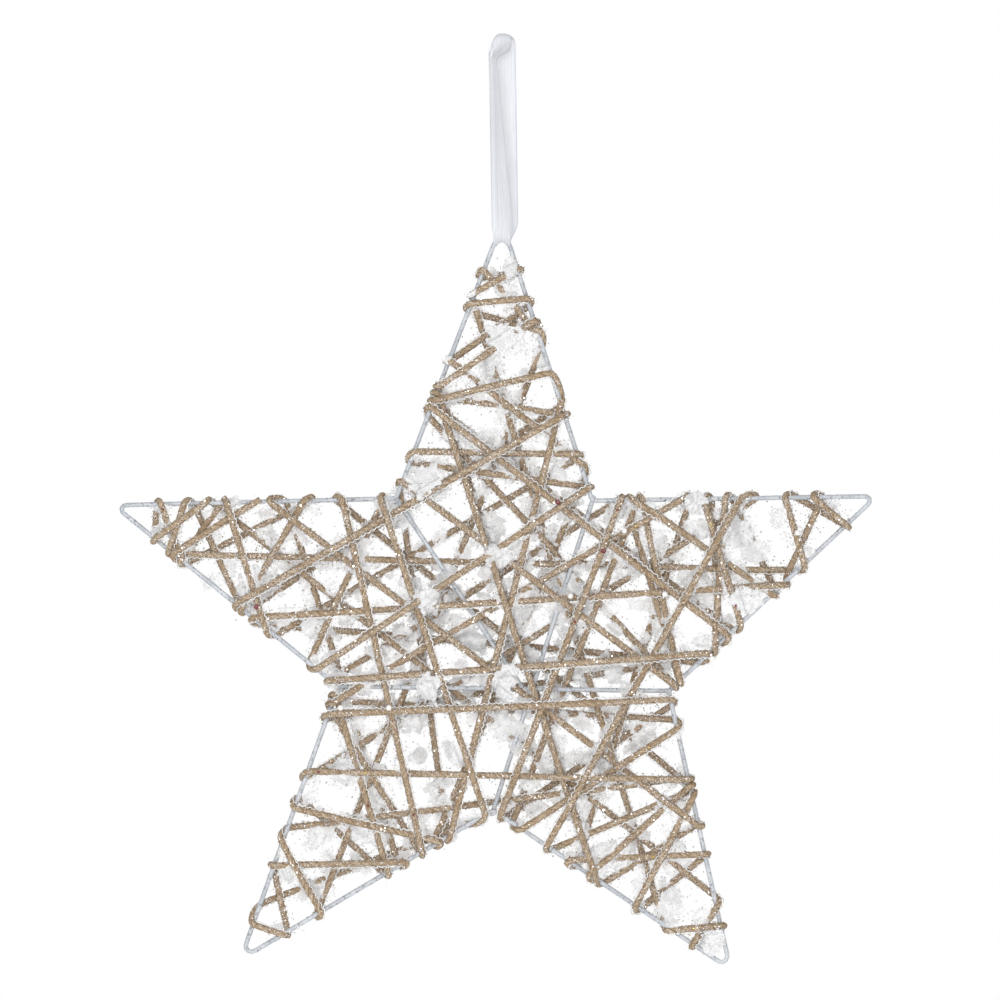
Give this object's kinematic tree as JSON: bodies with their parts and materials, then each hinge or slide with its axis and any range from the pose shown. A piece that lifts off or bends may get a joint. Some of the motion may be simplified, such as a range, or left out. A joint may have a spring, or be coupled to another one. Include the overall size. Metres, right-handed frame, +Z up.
{
  "type": "wire star ornament",
  "caption": "Flat star of bent white wire wound with jute twine, dusted with artificial snow, beads and glitter, with a sheer ribbon loop to hang it by.",
  "frame": {"origin": "under the top fold of the hanging ribbon, where a hook or peg carries the ornament", "axes": "+Z up towards the hook, +X to the right of the star seen from the front, +Y from the front face to the back"},
  "size_m": [0.4008, 0.0313, 0.4953],
  "materials": {
    "wire": "worn white paint on steel wire",
    "twine": "twisted natural jute",
    "ribbon": "sheer white organza",
    "snow": "matte white flakes with glitter",
    "pearl": "pearly gloss",
    "red_bead": "gloss"
  },
  "bodies": {
    "root": {"hanging_ribbon": "ribbon", "left_brace_wire": "wire", "level_brace_wire": "wire", "pearl_bead_01": "pearl", "pearl_bead_02": "pearl", "pearl_bead_03": "pearl", "pearl_bead_04": "pearl", "pearl_bead_05": "pearl", "pearl_bead_06": "pearl", "pearl_bead_07": "pearl", "pearl_bead_08": "pearl", "red_bead_01": "red_bead", "red_bead_02": "red_bead", "red_bead_03": "red_bead", "right_brace_wire": "wire", "snow_clump_01": "snow", "snow_clump_02": "snow", "snow_clump_03": "snow", "snow_clump_04": "snow", "snow_clump_05": "snow", "snow_clump_06": "snow", "snow_clump_07": "snow", "snow_clump_08": "snow", "snow_clump_09": "snow", "snow_clump_10": "snow", "snow_clump_11": "snow", "snow_clump_12": "snow", "snow_clump_13": "snow", "snow_clump_14": "snow", "snow_clump_15": "snow", "snow_clump_16": "snow", "snow_clump_17": "snow", "snow_clump_18": "snow", "snow_clump_19": "snow", "snow_clump_20": "snow", "snow_clump_21": "snow", "snow_clump_22": "snow", "snow_clump_23": "snow", "snow_clump_24": "snow", "snow_clump_25": "snow", "snow_clump_26": "snow", "snow_clump_27": "snow", "snow_clump_28": "snow", "snow_clump_29": "snow", "snow_clump_30": "snow", "snow_clump_31": "snow", "snow_clump_32": "snow", "star_outline_wire": "wire", "twine_winding": "twine"}
  },
  "joints": []
}
